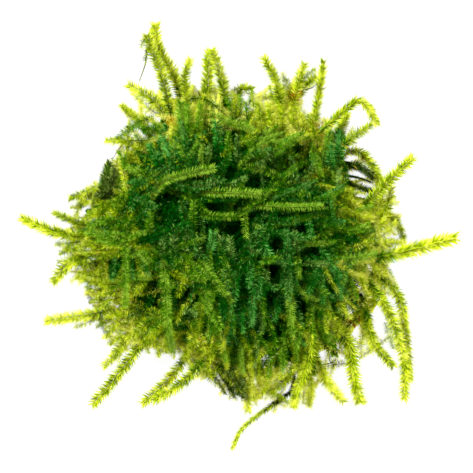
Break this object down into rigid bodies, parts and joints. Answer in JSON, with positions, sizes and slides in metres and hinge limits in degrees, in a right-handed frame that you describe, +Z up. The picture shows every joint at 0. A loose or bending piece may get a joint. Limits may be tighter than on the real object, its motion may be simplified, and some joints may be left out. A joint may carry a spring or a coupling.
{
  "type": "moss clump",
  "caption": "Loose tangled clump of green aquatic moss with leafy shoots that stand out round its rim; rests on a flat underside.",
  "frame": {"origin": "on the surface the clump rests on, under the middle of its bounding box", "axes": "+Z up, +Y towards the pair of longest shoots at the top of the picture, +X towards the longest single shoot on the picture's right"},
  "size_m": [0.0861, 0.0845, 0.0197],
  "materials": {
    "tangle": "matted leafy shoots, dark green, matt with a moist sheen",
    "fresh_shoots": "young translucent yellow-green leaves, slightly moist",
    "deep_shoots": "full green leaves, slightly moist",
    "old_shoots": "old olive to near-black leaves and stems, dull"
  },
  "bodies": {
    "root": {"tangled_mat": "tangle", "rim_shoot_01": "fresh_shoots", "rim_shoot_02": "fresh_shoots", "rim_shoot_03": "fresh_shoots", "rim_shoot_04": "fresh_shoots", "rim_shoot_05": "fresh_shoots", "rim_shoot_06": "fresh_shoots", "rim_shoot_07": "fresh_shoots", "rim_shoot_08": "fresh_shoots", "rim_shoot_09": "deep_shoots", "rim_shoot_10": "fresh_shoots", "rim_shoot_11": "fresh_shoots", "rim_shoot_12": "fresh_shoots", "rim_shoot_13": "fresh_shoots", "rim_shoot_14": "fresh_shoots", "rim_shoot_15": "fresh_shoots", "rim_shoot_16": "fresh_shoots", "rim_shoot_17": "old_shoots", "rim_shoot_18": "old_shoots", "rim_shoot_19": "old_shoots", "rim_shoot_20": "fresh_shoots", "rim_shoot_21": "fresh_shoots", "rim_shoot_22": "old_shoots", "rim_shoot_23": "fresh_shoots", "rim_shoot_24": "fresh_shoots", "rim_shoot_25": "fresh_shoots", "rim_shoot_26": "fresh_shoots", "rim_shoot_27": "fresh_shoots", "rim_shoot_28": "fresh_shoots", "rim_shoot_29": "fresh_shoots", "rim_shoot_30": "fresh_shoots", "rim_shoot_31": "fresh_shoots", "rim_shoot_32": "old_shoots", "rim_shoot_33": "fresh_shoots", "rim_shoot_34": "old_shoots", "rim_shoot_35": "fresh_shoots", "rim_shoot_36": "fresh_shoots", "rim_shoot_37": "fresh_shoots", "rim_shoot_38": "fresh_shoots", "rim_shoot_39": "fresh_shoots", "rim_shoot_40": "old_shoots", "rim_shoot_41": "fresh_shoots", "rim_shoot_42": "old_shoots", "rim_shoot_43": "fresh_shoots", "rim_shoot_44": "fresh_shoots", "top_shoot_01": "deep_shoots", "top_shoot_02": "deep_shoots", "top_shoot_03": "deep_shoots", "top_shoot_04": "deep_shoots", "top_shoot_05": "deep_shoots", "top_shoot_06": "deep_shoots", "top_shoot_07": "deep_shoots", "top_shoot_08": "deep_shoots", "top_shoot_09": "deep_shoots", "top_shoot_10": "deep_shoots", "top_shoot_11": "deep_shoots", "top_shoot_12": "deep_shoots", "crown_shoot_01": "deep_shoots", "crown_shoot_02": "deep_shoots"}
  },
  "joints": []
}
